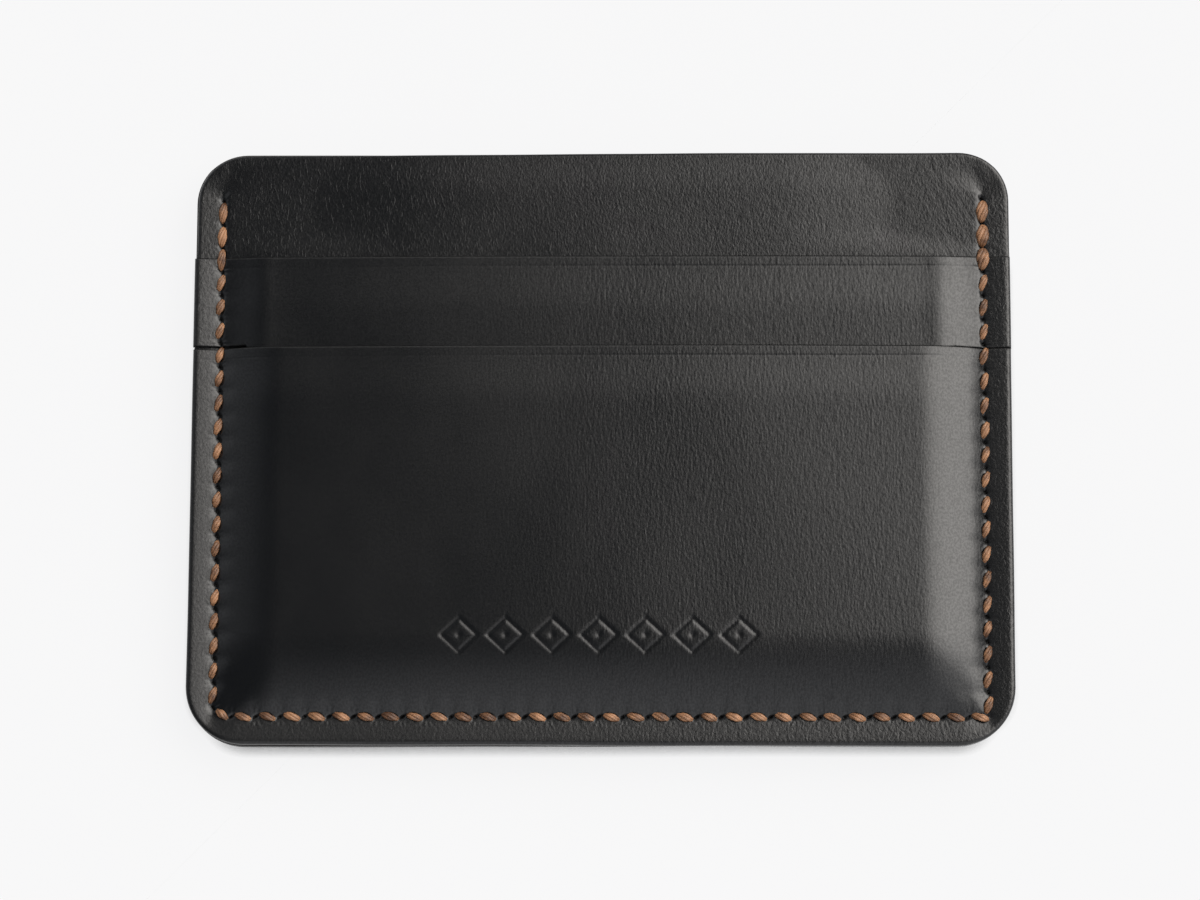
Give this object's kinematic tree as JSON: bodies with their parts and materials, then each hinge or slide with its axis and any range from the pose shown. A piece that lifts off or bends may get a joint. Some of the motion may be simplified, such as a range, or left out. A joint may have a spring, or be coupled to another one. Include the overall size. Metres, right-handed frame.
{
  "type": "card holder",
  "caption": "Slim leather card holder with stacked card pockets on both faces, a central note slot and a saddle-stitched U-shaped seam.",
  "frame": {"origin": "centre of the outline, on the flat surface that the holder's back rests on", "axes": "+X to the right across the holder, +Y up it towards the pocket mouths and open top edge, +Z out of the front face"},
  "size_m": [0.1, 0.0734, 0.0085],
  "materials": {
    "black_leather": "smooth, semi-gloss, lightly creased",
    "waxed_thread": "waxed copper-brown thread",
    "hem_thread": "black thread"
  },
  "bodies": {
    "root": {"front_panel": "black_leather", "front_upper_pocket": "black_leather", "front_lower_pocket": "black_leather", "back_panel": "black_leather", "back_upper_pocket": "black_leather", "back_lower_pocket": "black_leather", "saddle_stitch_thread": "waxed_thread", "front_hem_thread": "hem_thread", "back_hem_thread": "hem_thread"}
  },
  "joints": []
}
